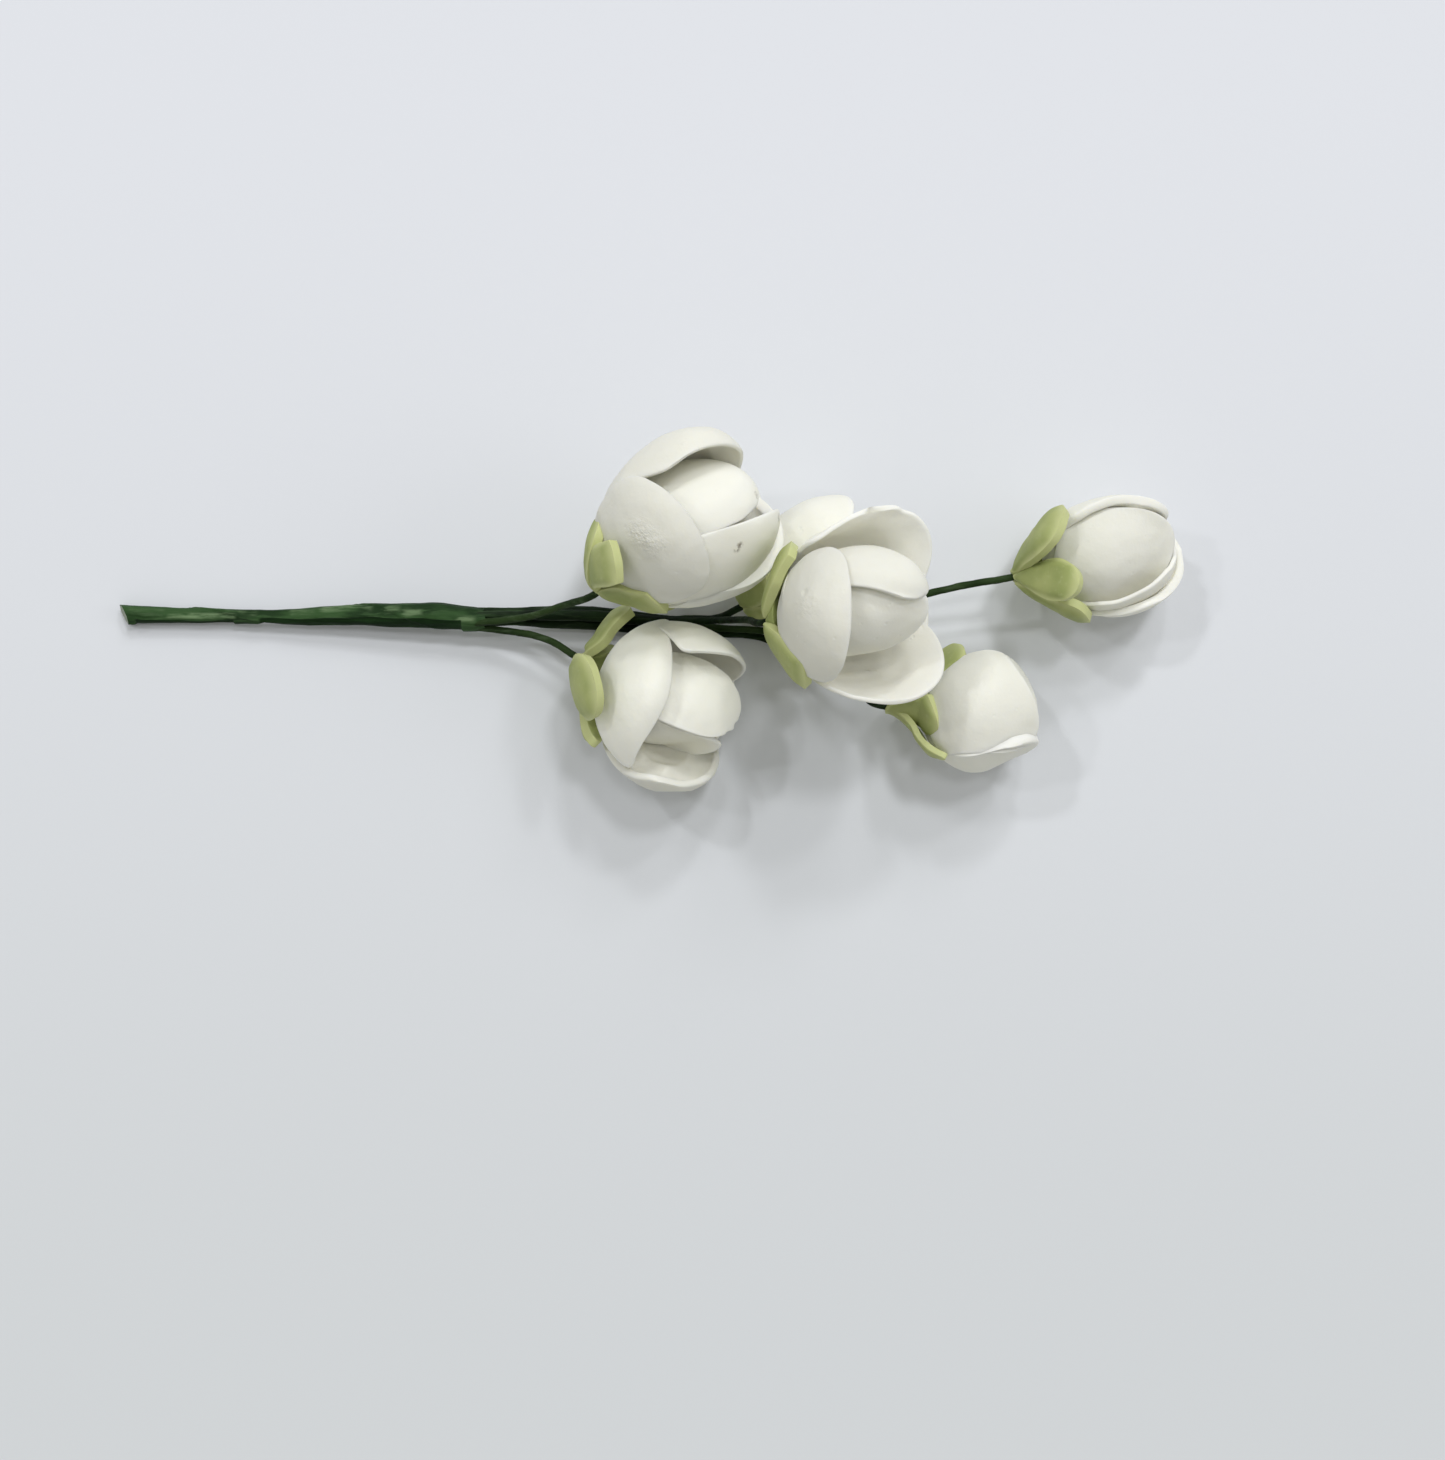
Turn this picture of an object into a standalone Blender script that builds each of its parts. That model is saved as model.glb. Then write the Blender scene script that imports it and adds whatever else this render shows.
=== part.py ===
# A spray of six cupped, rose-like blooms moulded in white paste, lying on a surface.
# Each bloom is a closed bud inside layered petals, backed by five thick sepals on its own wire,
# and the six wires run back into one stem bound in dark green floral tape.
# X runs along the stem towards the blooms, Z is up, and the lowest points lie at Z = 0.

import math

import bmesh
import bpy
from mathutils import Matrix, Vector

MM = 0.001

# Driving dimensions, in millimetres
PETAL_THICKNESS = 0.9
SEPAL_THICKNESS = 2.0
PETAL_ROOT_ANGLE = 22.0    # where on the cup a petal starts, from the cup's lowest point
SEPAL_ROOT_ANGLE = 8.0
WIRE_RADIUS = 0.55
JOINT_RADIUS = 0.9         # the calyx where its wire meets it
CALYX_RADIUS = 3.2
SEAT_GAP = 0.35            # between pieces that touch on the real thing
SEPAL_CLEARANCE = 0.6      # between a sepal and the petals it backs
SNAP = 0.00001             # in metres, the smallest edge kept after a union
GRID_STEPS = 6
SEPAL_STEPS = 4

# The empty that carries the spray puts the world's origin under the middle of it
SPRAY_OFFSET = (0.93, 0.76, 0.0)

WHITE = (0.80, 0.79, 0.73, 1.0)
SAGE = (0.30, 0.34, 0.12, 1.0)
TAPE_GREEN = (0.055, 0.105, 0.045, 1.0)
WIRE_GREEN = (0.018, 0.035, 0.012, 1.0)


def petal(turn, reach, half_width, hinge=0, lean=0, radius=10, widening=0.1, curl=0):
    # turn: degrees round the bloom from its upper side, clockwise seen from the stem
    # reach: degrees up the cup; hinge: degrees opened at the root; lean: degrees to one side
    return dict(turn=turn, reach=reach, half_width=half_width, hinge=hinge, lean=lean,
                radius=radius, widening=widening, curl=curl)


def sepal(turn, reach, half_width=3.2, hinge=0, lean=0):
    return dict(turn=turn, reach=reach, half_width=half_width, hinge=hinge, lean=lean)


BLOOMS = {
    "upper": dict(
        base=(-5.5, 6.0, 20.0), joint=(-7.7, 2.6, 18.5), heading=27, rise=22,
        cup_radius=14.5, cup_height=16.0, bud_radius=7.5, bud_length=16.0,
        petals=[petal(11, 103, 12.0, -9, -10, 12.0, 0.2, -1.0),
                petal(-108, 157, 13.5, 10, 3, 12.0, 0.25, -1.5),
                petal(139, 154, 15.0, 13, -1, 10.5, 0.05, -1.0),
                petal(-176, 120, 13.0, 3, 1, 13.5),
                petal(-48, 158, 11.5, -15, -6, 12.0, -0.1, -1.5),
                petal(-66, 161, 13.5, -14, -5, 9.5, 0.05, 0.5)],
        sepals=[sepal(-6, 55, 4.0, -1, 25), sepal(69, 44, 2.4, -11, -3), sepal(-60, 52, 4.0, -6, 10),
                sepal(136, 50), sepal(-150, 50)]),
    "lower": dict(
        base=(-8.5, -12.5, 10.1), joint=(-11.2, -8.1, 8.8), heading=-6, rise=12,
        cup_radius=13.5, cup_height=13.5, bud_radius=7.0, bud_length=19.0,
        petals=[petal(-11, 99, 12.0, -2, -5, 12.5, -0.25),
                petal(-88, 149, 9.0, -6, 1, 13.5, 0.25, -1.0),
                petal(100, 132, 11.5, 5, -10, 14.0, -0.15, -1.5),
                petal(-178, 126, 13.0, -1, 0, 13.5),
                petal(-15, 162, 7.5, -15, 6, 10.5, 0.25, 0.5),
                petal(80, 143, 9.0, 1, -4, 9.5, -0.15, 2.0)],
        sepals=[sepal(5, 60, 5.0, 8, -18), sepal(-86, 56, 3.2, 4, -12), sepal(89, 41, 2.8, -2, -3),
                sepal(160, 34), sepal(-140, 36)]),
    "front": dict(
        base=(21.0, -2.0, 27.0), joint=(18.5, -2.7, 25.0), heading=5, rise=27,
        cup_radius=13.5, cup_height=15.0, bud_radius=6.0, bud_length=19.5,
        petals=[petal(-4, 99, 11.5, -2, 4, 12.5, 0.15, -1.0),
                petal(-132, 129, 18.0, 13, 8, 10.5, 0.35, 2.5),
                petal(141, 126, 13.0, 13, -5, 11.5, -0.05, 1.5),
                petal(-179, 118, 13.0, 13, -1, 12.0, 0.1, -0.5),
                petal(-65, 150, 7.5, -5, 7, 11.0, 0.0, -1.0),
                petal(41, 153, 9.0, -11, -2, 8.5, -0.05, 1.0)],
        sepals=[sepal(-56, 49, 4.4, -9, -4), sepal(58, 46, 3.2, -8, 3), sepal(125, 46), sepal(180, 46),
                sepal(-125, 46)]),
    "far": dict(
        base=(63.0, 5.5, 12.0), joint=(58.1, 5.1, 12.0), heading=23, rise=2,
        cup_radius=9.5, cup_height=11.5, bud_radius=5.0, bud_length=16.5,
        petals=[petal(27, 153, 12.0, -15, 6, 8.0, 0.0, 3.0),
                petal(-115, 149, 10.0, -14, 1, 10.5, 0.2, 1.0),
                petal(135, 160, 13.0, 2, 1, 11.0, 0.1, -0.5),
                petal(178, 147, 10.0, 1, -1, 9.5)],
        sepals=[sepal(-51, 80, 4.4, 12, 35), sepal(4, 56, 3.4, -4, 34), sepal(90, 55, 3.4, -2, -6),
                sepal(161, 56), sepal(-137, 56)]),
    "near": dict(
        base=(45.0, -12.5, 8.0), joint=(38.2, -15.6, 7.2), heading=-23, rise=10,
        cup_radius=10.0, cup_height=9.0, bud_radius=6.5, bud_length=16.5,
        petals=[petal(-8, 155, 11.0, -5, 2, 9.5, -0.25, 1.0),
                petal(-110, 150, 10.0, -1, -1, 9.0),
                petal(84, 164, 6.0, -2, -7, 10.5, 0.1, 1.5),
                petal(180, 150, 10.0, 0, 0, 10.0)],
        sepals=[sepal(43, 53, 3.2, -8, 3), sepal(-88, 46, 3.2, -5, 2), sepal(79, 80, 3.2, 3, -35),
                sepal(150, 40), sepal(-140, 40)]),
    "under": dict(
        base=(17.4, 2.2, 7.7), joint=(14.7, 0.6, 7.4), heading=32, rise=3,
        cup_radius=8.8, cup_height=11.5, bud_radius=6.0, bud_length=18.0,
        petals=[petal(60, 145, 11.0, 0, 0, 8.8),
                petal(-60, 145, 11.0, 2, 0, 9.0),
                petal(180, 145, 11.0, 0, 0, 8.8)],
        sepals=[sepal(-20, 50), sepal(-92, 50), sepal(-164, 40), sepal(120, 30, 2.6), sepal(52, 46, 2.6)]),
}

# Hand-placed points along the taped stem: X, Y, Z and its radius there
STEM_POINTS = [(-87.7, -0.3, 1.6, 1.6), (-82.5, -0.5, 1.7, 1.6), (-75.9, -0.7, 1.8, 1.4),
               (-67.9, -0.8, 2.2, 1.2), (-61.8, -0.9, 2.6, 1.3), (-56.2, -0.9, 3.0, 1.6),
               (-49.4, -0.7, 3.4, 1.9), (-42.8, -0.8, 3.8, 2.1), (-35.7, -0.8, 4.2, 2.3),
               (-31.3, -1.1, 4.5, 2.15), (-29.0, -1.3, 4.6, 2.05)]

# Hand-placed points along each wire, from the taped stem to just before its bloom
WIRE_ROUTES = {
    "upper": [(-28.6, -1.98, 5.77), (-23.7, -1.6, 7.3), (-19.0, -1.0, 9.6), (-14.0, 0.4, 13.2)],
    "lower": [(-28.6, -2.65, 4.6), (-24.0, -3.2, 5.0), (-19.2, -4.0, 6.2), (-15.6, -5.3, 7.6)],
    "front": [(-28.6, -0.62, 5.77), (-16.6, -0.7, 5.4), (-9.1, -0.8, 4.9), (2.2, -1.6, 4.4),
              (8.4, -1.2, 6.0), (12.2, -1.9, 10.5), (15.6, -3.2, 17.5)],
    "far": [(-28.6, -0.62, 3.43), (-16.6, -0.7, 3.0), (-9.1, -0.8, 2.5), (2.2, -1.6, 2.0),
            (10.5, -3.0, 1.9), (17.0, -4.6, 2.6), (25.0, -5.2, 4.0), (33.0, -2.6, 6.5),
            (41.0, 1.4, 9.6), (48.5, 3.4, 11.0), (54.0, 4.4, 11.8)],
    "near": [(-28.6, -1.98, 3.43), (-16.6, -2.1, 3.0), (-9.1, -2.2, 2.5), (2.2, -3.0, 2.0),
             (10.5, -4.5, 1.6), (18.0, -6.4, 2.4), (27.0, -9.4, 4.2), (33.5, -12.8, 6.4)],
    "under": [(-28.6, 0.05, 4.6), (-16.6, -0.05, 4.2), (-9.1, -0.15, 3.7), (2.2, -0.95, 3.2),
              (6.0, -0.6, 3.6), (10.6, -0.6, 5.6)],
}


def clear_scene():
    for old in list(bpy.data.objects):
        bpy.data.objects.remove(old, do_unlink=True)


def new_collection(name, parent=None):
    group = bpy.data.collections.new(name)
    (parent or bpy.context.scene.collection).children.link(group)
    return group


def new_material(name, colour, roughness):
    material = bpy.data.materials.new(name)
    material.use_nodes = True
    shader = material.node_tree.nodes["Principled BSDF"]
    shader.inputs["Base Color"].default_value = colour
    shader.inputs["Roughness"].default_value = roughness
    shader.inputs["Metallic"].default_value = 0.0
    return material


def object_from_bmesh(name, shape, group):
    mesh = bpy.data.meshes.new(name)
    shape.to_mesh(mesh)
    shape.free()
    made = bpy.data.objects.new(name, mesh)
    group.objects.link(made)
    return made


def evaluated_mesh(made, name):
    bpy.context.view_layer.update()
    graph = bpy.context.evaluated_depsgraph_get()
    return bpy.data.meshes.new_from_object(made.evaluated_get(graph), depsgraph=graph).copy()


def bloom_matrix(bloom):
    # Local Z is the bloom's axis, local X its upper side
    heading, rise = math.radians(bloom["heading"]), math.radians(bloom["rise"])
    axis = Vector((math.cos(heading) * math.cos(rise), math.sin(heading) * math.cos(rise), math.sin(rise)))
    upper = (Vector((0, 0, 1)) - axis * axis.z).normalized()
    side = axis.cross(upper)
    turn = Matrix((upper, side, axis)).transposed().to_4x4()
    return Matrix.Translation(Vector(bloom["base"]) * MM) @ turn


def disc_grid(steps):
    # A square grid squeezed into a disc: the outline of a petal or a sepal
    shape = bmesh.new()
    bmesh.ops.create_grid(shape, x_segments=steps, y_segments=steps, size=1.0)
    for vert in shape.verts:
        x, y = vert.co.x, vert.co.y
        vert.co.x = x * math.sqrt(1 - y * y / 2)
        vert.co.y = y * math.sqrt(1 - x * x / 2)
    return shape


def turned_about_root(radial, along, root_radial, root_along, degrees):
    angle = math.radians(degrees)
    out, up = radial - root_radial, along - root_along
    return (root_radial + out * math.cos(angle) + up * math.sin(angle),
            root_along - out * math.sin(angle) + up * math.cos(angle))


def set_round_axis(radial, lateral, along, degrees):
    turn = math.radians(degrees)
    return Vector((radial * math.cos(turn) - lateral * math.sin(turn),
                   radial * math.sin(turn) + lateral * math.cos(turn), along)) * MM


def petal_point(bloom, form, x, y):
    # x runs across the petal and y from its root (-1) to its rim (1)
    radius = form["radius"]
    height = bloom["cup_height"] * (radius / bloom["cup_radius"]) ** 0.4
    root = math.radians(PETAL_ROOT_ANGLE)
    angle = root + (math.radians(form["reach"]) - root) * (y + 1) / 2
    radial, along = radius * math.sin(angle), height * (1 - math.cos(angle))
    rise_out, rise_up = radius * math.cos(angle), height * math.sin(angle)
    slope = math.hypot(rise_out, rise_up)
    normal_out, normal_up = rise_up / slope, -rise_out / slope
    arc = x * form["half_width"] * (1 + form["widening"] * y) / radius
    lateral = radius * math.sin(arc)
    inward = radius * (1 - math.cos(arc))
    rim = max(0.0, (min(1.0, math.hypot(x, y)) - 0.55) / 0.45)
    upper_part = min(1.0, max(0.0, (y + 0.35) / 1.35))
    shift = form["curl"] * rim ** 2 * upper_part - inward
    radial += normal_out * shift
    along += normal_up * shift
    root_radial, root_along = radius * math.sin(root), height * (1 - math.cos(root))
    radial, along = turned_about_root(radial, along, root_radial, root_along, form["hinge"])
    lateral, along = turned_about_root(lateral, along, 0.0, root_along, form["lean"])
    return set_round_axis(radial, lateral, along, form["turn"])


def sepal_point(bloom, form, joint, x, y):
    # Follows the outside of the cup, and narrows to the joint with the wire
    radius, height = bloom["cup_radius"] + 0.6, bloom["cup_height"] + 0.6
    root = math.radians(SEPAL_ROOT_ANGLE)
    share = (y + 1) / 2
    angle = root + (math.radians(form["reach"]) - root) * share
    radial, along = radius * math.sin(angle), height * (1 - math.cos(angle)) - 0.6
    rise_out, rise_up = radius * math.cos(angle), height * math.sin(angle)
    slope = math.hypot(rise_out, rise_up)
    across = math.copysign(abs(x) ** 0.8, x) * form["half_width"]
    lateral = radius * math.sin(across / radius)
    inward = radius * (1 - math.cos(across / radius))
    radial -= rise_up / slope * inward
    along += rise_out / slope * inward
    radial, along = turned_about_root(radial, along, 0.0, -0.6, form["hinge"])
    lateral, along = turned_about_root(lateral, along, 0.0, -0.6, form["lean"])
    spread = set_round_axis(radial, lateral, along, form["turn"])
    gathered = joint + set_round_axis(JOINT_RADIUS, 0.4 * across, 0.0, form["turn"])
    blend = min(1.0, share / 0.5)
    blend = blend * blend * (3 - 2 * blend)
    return gathered.lerp(spread, blend)


def thicken(made, thickness, offset):
    solid = made.modifiers.new("thickness", "SOLIDIFY")
    solid.thickness = thickness * MM
    solid.offset = offset
    solid.use_even_offset = True
    return made


def bud_and_receptacle(bloom, group):
    # The closed bud in the middle, and the solid foot that all the petals grow from
    bud = bmesh.new()
    bmesh.ops.create_uvsphere(bud, u_segments=14, v_segments=8, radius=1.0)
    radius, half = bloom["bud_radius"] * MM, bloom["bud_length"] / 2 * MM
    bmesh.ops.scale(bud, vec=(radius, radius, half), verts=bud.verts)
    bmesh.ops.translate(bud, vec=(0, 0, half + 1.0 * MM), verts=bud.verts)
    bud_object = object_from_bmesh("bud", bud, group)

    foot = bmesh.new()
    bmesh.ops.create_uvsphere(foot, u_segments=16, v_segments=12, radius=1.0)
    radius, height = bloom["cup_radius"] * 0.93 * MM, bloom["cup_height"] * 0.97 * MM
    bmesh.ops.scale(foot, vec=(radius, radius, height), verts=foot.verts)
    bmesh.ops.translate(foot, vec=(0, 0, bloom["cup_height"] * MM), verts=foot.verts)
    top = height * 0.24
    everything = foot.verts[:] + foot.edges[:] + foot.faces[:]
    cut = bmesh.ops.bisect_plane(foot, geom=everything, plane_co=(0, 0, top), plane_no=(0, 0, 1),
                                 clear_outer=True)
    rim = [piece for piece in cut["geom_cut"] if isinstance(piece, bmesh.types.BMEdge)]
    bmesh.ops.edgeloop_fill(foot, edges=rim)
    bmesh.ops.recalc_face_normals(foot, faces=foot.faces)
    return [bud_object, object_from_bmesh("foot", foot, group)]


def keep_outer_shell(shape):
    # Petals that close on each other leave sealed hollows: only the outermost shell is kept
    unseen = set(shape.faces)
    shells = []
    while unseen:
        queue = [unseen.pop()]
        shell = list(queue)
        while queue:
            for edge in queue.pop().edges:
                beside = [face for face in edge.link_faces if face in unseen]
                if len(edge.link_faces) == 2 and beside:
                    unseen.discard(beside[0])
                    shell.append(beside[0])
                    queue.append(beside[0])
        shells.append(shell)
    shells.sort(key=len)
    for shell in shells[:-1]:
        bmesh.ops.delete(shape, geom=shell, context="FACES")
    loose = [edge for edge in shape.edges if not edge.link_faces]
    bmesh.ops.delete(shape, geom=loose, context="EDGES")


def press_flat(shape, matrix):
    # Whatever would sink below the surface is cut away, which leaves a small flat spot
    inverse = matrix.inverted()
    bmesh.ops.bisect_plane(shape, geom=shape.verts[:] + shape.edges[:] + shape.faces[:],
                           dist=SNAP, plane_co=inverse.translation,
                           plane_no=inverse.to_3x3() @ Vector((0, 0, -1)), clear_outer=True)
    bmesh.ops.holes_fill(shape, edges=[edge for edge in shape.edges if edge.is_boundary], sides=0)


def fused(name, pieces, matrix, group, workshop):
    # One Boolean union over the collection of repeats, then the repeats go
    first, others = pieces[0], pieces[1:]
    repeats = new_collection(name + "_repeats", workshop)
    for piece in others:
        workshop.objects.unlink(piece)
        repeats.objects.link(piece)
    union = first.modifiers.new("union", "BOOLEAN")
    union.operation = "UNION"
    union.operand_type = "COLLECTION"
    union.collection = repeats
    union.solver = "MANIFOLD"
    shape = bmesh.new()
    shape.from_mesh(evaluated_mesh(first, name))
    bmesh.ops.remove_doubles(shape, verts=shape.verts, dist=SNAP)
    bmesh.ops.dissolve_degenerate(shape, edges=shape.edges, dist=SNAP)
    bmesh.ops.triangulate(shape, faces=shape.faces)
    keep_outer_shell(shape)
    press_flat(shape, matrix)
    for piece in pieces:
        bpy.data.objects.remove(piece, do_unlink=True)
    bpy.data.collections.remove(repeats)
    return object_from_bmesh(name, shape, group)


def shade(made, material, angle=35):
    made.data.materials.clear()
    made.data.materials.append(material)
    made.data.shade_smooth()
    made.data.set_sharp_from_angle(angle=math.radians(angle))


def petals_of(name, bloom, group, workshop):
    pieces = bud_and_receptacle(bloom, workshop)
    for form in bloom["petals"]:
        sheet = disc_grid(GRID_STEPS)
        for vert in sheet.verts:
            vert.co = petal_point(bloom, form, vert.co.x, vert.co.y)
        made = object_from_bmesh("petal", sheet, workshop)
        pieces.append(thicken(made, PETAL_THICKNESS, -1))
    return fused("petals_" + name, pieces, bloom_matrix(bloom), group, workshop)


def outer_guide(petals, workshop):
    # The convex outline of the petals, which the sepals are kept outside
    shape = bmesh.new()
    shape.from_mesh(petals.data)
    hull = bmesh.ops.convex_hull(shape, input=shape.verts)
    bmesh.ops.delete(shape, geom=[v for v in hull["geom_interior"] if isinstance(v, bmesh.types.BMVert)],
                     context="VERTS")
    loose = [face for face in shape.faces if face not in hull["geom"]]
    bmesh.ops.delete(shape, geom=loose, context="FACES_ONLY")
    bmesh.ops.recalc_face_normals(shape, faces=shape.faces)
    return object_from_bmesh("guide", shape, workshop)


def calyx_of(name, bloom, petals, group, workshop):
    joint = bloom_matrix(bloom).inverted() @ (Vector(bloom["joint"]) * MM)
    guide = outer_guide(petals, workshop)
    hub = bmesh.new()
    top = -SEAT_GAP * MM
    bmesh.ops.create_cone(hub, cap_ends=True, segments=16, radius1=JOINT_RADIUS * MM,
                          radius2=CALYX_RADIUS * MM, depth=top - joint.z)
    for vert in hub.verts:
        vert.co.z += (top + joint.z) / 2
        if vert.co.z < (top + joint.z) / 2:
            vert.co.x += joint.x
            vert.co.y += joint.y
    pieces = [object_from_bmesh("hub", hub, workshop)]
    for form in bloom["sepals"]:
        sheet = disc_grid(SEPAL_STEPS)
        for vert in sheet.verts:
            vert.co = sepal_point(bloom, form, joint, vert.co.x, vert.co.y)
        made = object_from_bmesh("sepal", sheet, workshop)
        wrap = made.modifiers.new("clear of petals", "SHRINKWRAP")
        wrap.target = guide
        wrap.wrap_method = "NEAREST_SURFACEPOINT"
        wrap.wrap_mode = "OUTSIDE"
        wrap.offset = SEPAL_CLEARANCE * MM
        pieces.append(thicken(made, SEPAL_THICKNESS, 1))
    made = fused("calyx_" + name, pieces, bloom_matrix(bloom), group, workshop)
    bpy.data.objects.remove(guide, do_unlink=True)
    return made


def smooth_route(points, spacing):
    # Even points along a Catmull-Rom curve through the hand-placed ones
    ends = [points[0] * 2 - points[1], *points, points[-1] * 2 - points[-2]]
    route = []
    for before, start, end, after in zip(ends, ends[1:], ends[2:], ends[3:]):
        steps = max(2, round((end - start).length / spacing))
        for step in range(steps):
            t = step / steps
            route.append(0.5 * (2 * start + (end - before) * t
                                + (2 * before - 5 * start + 4 * end - after) * t ** 2
                                + (3 * start - before - 3 * end + after) * t ** 3))
    route.append(points[-1])
    return route


def tube(name, route, radii, resolution, group):
    curve = bpy.data.curves.new(name, "CURVE")
    curve.dimensions = "3D"
    curve.bevel_depth = MM
    curve.bevel_resolution = resolution
    curve.use_fill_caps = True
    spline = curve.splines.new("POLY")
    spline.points.add(len(route) - 1)
    for point, place, radius in zip(spline.points, route, radii):
        point.co = (*(place * MM), 1.0)
        point.radius = radius
    drawn = bpy.data.objects.new(name, curve)
    group.objects.link(drawn)
    mesh = evaluated_mesh(drawn, name)
    mesh.name = name
    bpy.data.objects.remove(drawn, do_unlink=True)
    shape = bmesh.new()
    shape.from_mesh(mesh)
    bmesh.ops.remove_doubles(shape, verts=shape.verts, dist=0.00001)
    shape.to_mesh(mesh)
    shape.free()
    made = bpy.data.objects.new(name, mesh)
    group.objects.link(made)
    return made


def taped_stem(group):
    points = [Vector(p[:3]) for p in STEM_POINTS]
    return tube("taped_stem", points, [p[3] for p in STEM_POINTS], 4, group)


def wire_of(name, bloom, group):
    axis = bloom_matrix(bloom).to_3x3() @ Vector((0, 0, 1))
    joint = Vector(bloom["joint"])
    reach = joint - Vector(bloom["base"])
    away = (reach.normalized() * 0.5 - axis * 0.5).normalized()
    points = [Vector(p) for p in WIRE_ROUTES[name]] + [joint + away * 2.5, joint + away * SEAT_GAP]
    route = smooth_route(points, 4.0)
    return tube("wire_" + name, route, [WIRE_RADIUS] * len(route), 2, group)


def main():
    clear_scene()
    spray_parts = new_collection("multi_bloom_rose_stem")
    workshop = new_collection("workshop")
    white = new_material("petal_white", WHITE, 0.55)
    sage = new_material("sepal_sage", SAGE, 0.6)
    tape = new_material("stem_tape", TAPE_GREEN, 0.5)
    wire_green = new_material("wire_wrap", WIRE_GREEN, 0.5)
    spray = bpy.data.objects.new("spray", None)
    spray.location = Vector(SPRAY_OFFSET) * MM
    spray_parts.objects.link(spray)

    stem = taped_stem(spray_parts)
    shade(stem, tape)
    made = [stem]
    for name, bloom in BLOOMS.items():
        petals = petals_of(name, bloom, spray_parts, workshop)
        calyx = calyx_of(name, bloom, petals, spray_parts, workshop)
        wire = wire_of(name, bloom, spray_parts)
        for piece, material in ((petals, white), (calyx, sage), (wire, wire_green)):
            shade(piece, material)
        for piece in (petals, calyx):
            piece.matrix_world = bloom_matrix(bloom)
        made += [petals, calyx, wire]
    for piece in made:
        piece.parent = spray
    bpy.data.collections.remove(workshop)


main()
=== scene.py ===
import math

import bpy
from mathutils import Matrix, Vector, noise


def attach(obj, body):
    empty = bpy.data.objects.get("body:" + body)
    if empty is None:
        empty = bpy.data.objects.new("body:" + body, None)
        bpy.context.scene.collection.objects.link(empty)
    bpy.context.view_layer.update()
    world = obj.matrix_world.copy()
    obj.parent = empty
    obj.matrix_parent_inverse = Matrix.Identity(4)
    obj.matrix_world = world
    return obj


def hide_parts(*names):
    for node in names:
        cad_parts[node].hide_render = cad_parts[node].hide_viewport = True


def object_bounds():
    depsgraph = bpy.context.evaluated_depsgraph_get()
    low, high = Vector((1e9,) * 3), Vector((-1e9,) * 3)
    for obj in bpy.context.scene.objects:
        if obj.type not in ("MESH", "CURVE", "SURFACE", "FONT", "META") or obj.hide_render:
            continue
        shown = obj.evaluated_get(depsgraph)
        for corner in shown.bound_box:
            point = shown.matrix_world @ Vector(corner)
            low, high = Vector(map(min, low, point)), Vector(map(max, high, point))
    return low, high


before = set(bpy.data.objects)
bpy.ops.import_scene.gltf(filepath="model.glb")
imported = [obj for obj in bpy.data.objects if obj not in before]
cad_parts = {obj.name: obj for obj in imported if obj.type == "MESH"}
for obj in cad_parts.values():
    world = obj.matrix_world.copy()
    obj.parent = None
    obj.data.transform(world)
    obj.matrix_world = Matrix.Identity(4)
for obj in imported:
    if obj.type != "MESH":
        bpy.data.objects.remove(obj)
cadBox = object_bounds()
mm = 0.001
print("frame loaded")


# Shader maths: a socket that takes part in sums, each of which adds a Math node
class Signal:
    def __init__(self, finish, socket):
        self.finish = finish
        self.socket = socket

    def math(self, operation, first, second):
        return self.finish.node("ShaderNodeMath", {"operation": operation}, {0: first, 1: second})

    def __add__(self, other):
        return self.math("ADD", self, other)

    def __radd__(self, other):
        return self.math("ADD", other, self)

    def __sub__(self, other):
        return self.math("SUBTRACT", self, other)

    def __rsub__(self, other):
        return self.math("SUBTRACT", other, self)

    def __mul__(self, other):
        return self.math("MULTIPLY", self, other)

    def __rmul__(self, other):
        return self.math("MULTIPLY", other, self)


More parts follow.
